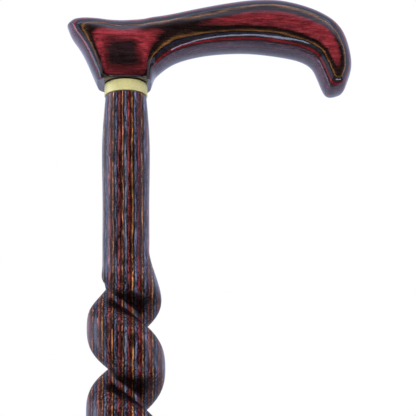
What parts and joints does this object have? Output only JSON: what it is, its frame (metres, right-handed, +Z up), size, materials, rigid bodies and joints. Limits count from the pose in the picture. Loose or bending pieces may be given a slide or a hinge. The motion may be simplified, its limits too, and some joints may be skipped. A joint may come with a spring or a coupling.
{
  "type": "walking cane",
  "caption": "Wooden walking cane with a T-shaped carved grip, a metal collar, a spiral-carved shaft and a rubber tip.",
  "frame": {"origin": "centre of the rubber tip's sole, on the shaft's axis", "axes": "+Z up along the shaft, +X along the grip towards its nose, +Y across the grip"},
  "size_m": [0.1341, 0.034, 0.9139],
  "materials": {
    "laminated_wood_handle": "laminated dyed veneers, gloss lacquer",
    "laminated_wood_shaft": "laminated dyed veneers, gloss lacquer",
    "brass": "satin, pale",
    "zinc_plated_steel": "bright zinc plate",
    "black_rubber": "matt, ribbed"
  },
  "bodies": {
    "cane": {"handle": "laminated_wood_handle", "collar": "brass", "dowel_screw": "zinc_plated_steel", "shaft": "laminated_wood_shaft"},
    "tip": {"rubber_tip": "black_rubber", "tip_washer": "zinc_plated_steel"}
  },
  "joints": [
    {"name": "tip_pull", "type": "slide", "parent": "cane", "child": "tip", "axis": [0, 0, -1], "range_m": [0, 0.035]}
  ]
}
